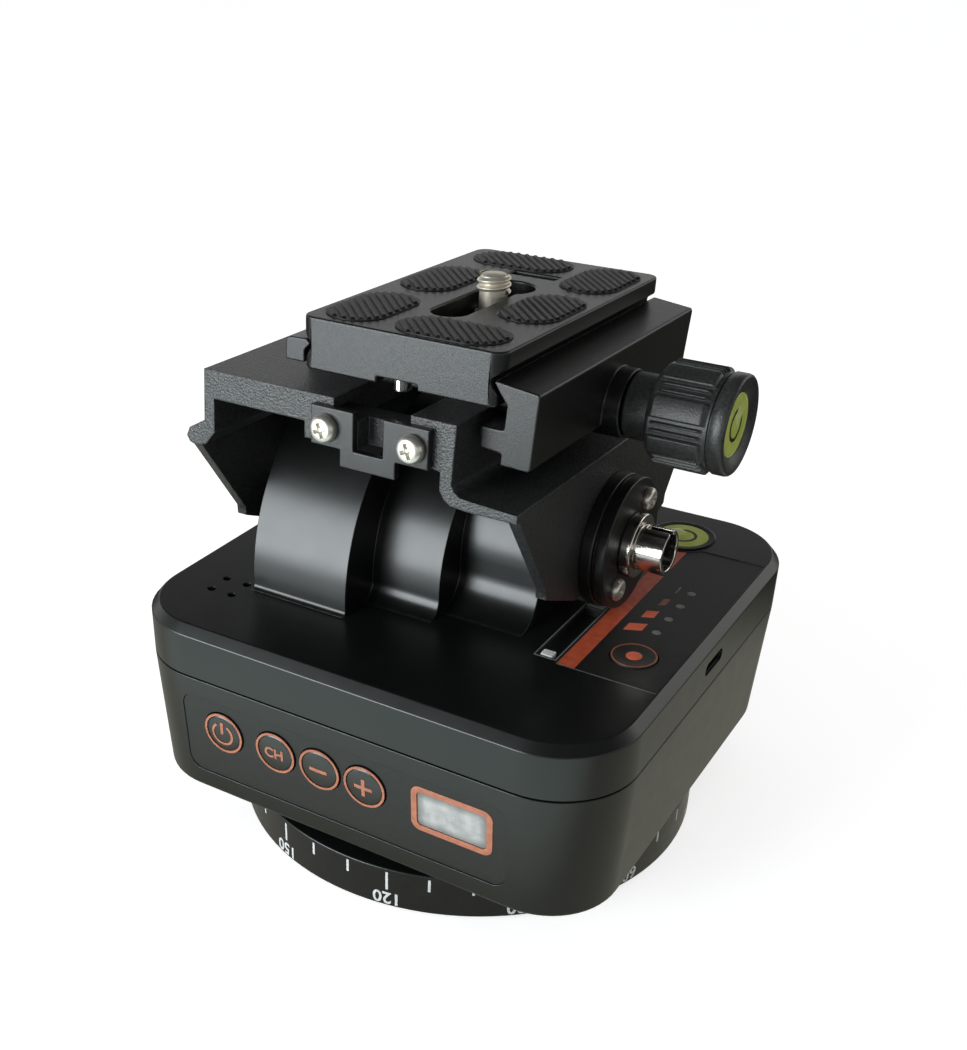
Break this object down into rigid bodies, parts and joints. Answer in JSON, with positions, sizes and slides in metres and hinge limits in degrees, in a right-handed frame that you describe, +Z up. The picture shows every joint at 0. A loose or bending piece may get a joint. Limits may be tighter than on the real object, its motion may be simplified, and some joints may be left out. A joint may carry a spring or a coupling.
{
  "type": "remote pan tilt head",
  "caption": "Motorised pan and tilt head with a dial base, square body, tilting cradle, side clamp and quick release plate with a camera screw.",
  "frame": {"origin": "mouth of the tripod socket on the pan axis, in the plane of the rubber ring the head stands on", "axes": "+Z up along the pan axis, -Y out of the button panel, +X out of the side with the knob and the USB opening"},
  "size_m": [0.103, 0.1006, 0.1106],
  "materials": {
    "shell_black": "satin",
    "panel_black": "semi-gloss",
    "dial_black": "satin",
    "cast_black": "fine texture",
    "anodised_black": "black anodised, satin",
    "steel_bright": "polished",
    "steel_plain": "plain",
    "rubber_black": "matt",
    "bronze_bush": "plain",
    "gear_white": "matt",
    "board_green": "semi-gloss",
    "battery_blue": "shrink film",
    "light_orange": "satin",
    "light_white": "satin",
    "window_white": "frosted",
    "level_green": "clear",
    "tab_white": "satin"
  },
  "bodies": {
    "base": {"base_dial": "dial_black", "base_cover": "shell_black", "base_pad": "rubber_black", "tripod_bushing": "steel_plain", "base_screws": "steel_plain", "pan_axle": "steel_plain", "pan_ring_gear": "gear_white", "thrust_washer": "shell_black"},
    "turret": {"lower_shell": "shell_black", "upper_shell": "shell_black", "drum_cover": "shell_black", "front_panel": "panel_black", "display_window": "window_white", "button_board": "board_green", "top_panel": "panel_black", "main_board": "board_green", "battery_lights": "light_orange", "channel_lights": "light_white", "switch_tray": "panel_black", "usb_port": "steel_plain", "level_vial": "level_green", "battery_pack": "battery_blue", "pan_motor": "steel_plain", "pan_motor_bracket": "steel_plain", "tilt_motor": "steel_plain", "tilt_motor_bracket": "steel_plain", "shaft_bushes": "bronze_bush", "shell_screws": "steel_plain"},
    "power": {"power_button": "panel_black"},
    "channel": {"channel_button": "panel_black"},
    "minus": {"minus_button": "panel_black"},
    "plus": {"plus_button": "panel_black"},
    "record": {"record_button": "panel_black"},
    "slider": {"slide_switch": "tab_white"},
    "pan_drive": {"pan_pinion": "bronze_bush"},
    "tilt_drive": {"tilt_pinion": "bronze_bush"},
    "head": {"cradle": "cast_black", "front_bracket": "cast_black", "bracket_screws": "steel_bright", "tilt_shaft": "steel_bright", "right_flange": "anodised_black", "left_flange": "anodised_black", "shaft_collar": "steel_bright", "flange_screws": "steel_bright", "tilt_gear": "gear_white", "clamp_base": "anodised_black", "clamp_screws": "steel_plain"},
    "jaw": {"moving_jaw": "anodised_black", "guide_pins": "steel_plain"},
    "knob": {"clamp_knob": "rubber_black", "knob_stud": "steel_plain", "knob_level": "level_green"},
    "plate": {"release_plate": "anodised_black", "grip_pads": "rubber_black", "stop_screws": "steel_bright"},
    "retainer": {"screw_retainer": "steel_plain"},
    "screw": {"camera_screw": "steel_bright"}
  },
  "joints": [
    {"name": "pan", "type": "hinge", "parent": "base", "child": "turret", "pos_m": [0, 0, 0.0129], "axis": [0, 0, 1], "continuous": true},
    {"name": "tilt", "type": "hinge", "parent": "turret", "child": "head", "pos_m": [0, 0.0015, 0.0644], "axis": [1, 0, 0], "range_deg": [-12.5, 17.5]},
    {"name": "pan_pinion_turn", "type": "hinge", "parent": "turret", "child": "pan_drive", "pos_m": [0, -0.02815, 0.018], "axis": [0, 0, 1], "continuous": true},
    {"name": "tilt_pinion_turn", "type": "hinge", "parent": "turret", "child": "tilt_drive", "pos_m": [-0.02, 0.0015, 0.04665], "axis": [1, 0, 0], "range_deg": [-46.8, 33.5]},
    {"name": "jaw_slide", "type": "slide", "parent": "head", "child": "jaw", "axis": [1, 0, 0], "range_m": [0, 0.00401]},
    {"name": "knob_turn", "type": "hinge", "parent": "jaw", "child": "knob", "pos_m": [0.04, 0.00138, 0.09143], "axis": [1, 0, 0], "range_deg": [0, 1440]},
    {"name": "plate_slide", "type": "slide", "parent": "head", "child": "plate", "axis": [0, 0.999, -0.0436], "range_m": [-0.015, 0.015]},
    {"name": "retainer_slide", "type": "slide", "parent": "plate", "child": "retainer", "axis": [0, 0.999, -0.0436], "range_m": [-0.0156, 0.007]},
    {"name": "camera_screw_turn", "type": "hinge", "parent": "retainer", "child": "screw", "pos_m": [0.0008, 0.00155, 0.10444], "axis": [0, 0.0436, 0.999], "continuous": true},
    {"name": "power_press", "type": "slide", "parent": "turret", "child": "power", "axis": [0, 0.9985, 0.0542], "range_m": [0, 0.0006], "stiffness_N_per_m": 150},
    {"name": "channel_press", "type": "slide", "parent": "turret", "child": "channel", "axis": [0, 0.9985, 0.0542], "range_m": [0, 0.0006], "stiffness_N_per_m": 150},
    {"name": "minus_press", "type": "slide", "parent": "turret", "child": "minus", "axis": [0, 0.9985, 0.0542], "range_m": [0, 0.0006], "stiffness_N_per_m": 150},
    {"name": "plus_press", "type": "slide", "parent": "turret", "child": "plus", "axis": [0, 0.9985, 0.0542], "range_m": [0, 0.0006], "stiffness_N_per_m": 150},
    {"name": "record_press", "type": "slide", "parent": "turret", "child": "record", "axis": [0, 0, -1], "range_m": [0, 0.0004], "stiffness_N_per_m": 150},
    {"name": "switch_slide", "type": "slide", "parent": "turret", "child": "slider", "axis": [0, 1, 0], "range_m": [0, 0.015]}
  ],
  "couplings": [
    {"joint": "pan_pinion_turn", "follows": "pan", "ratio": 3.6667},
    {"joint": "tilt_pinion_turn", "follows": "tilt", "ratio": -2.6667},
    {"joint": "jaw_slide", "follows": "knob_turn", "m_per_rad": 0.00015915}
  ]
}
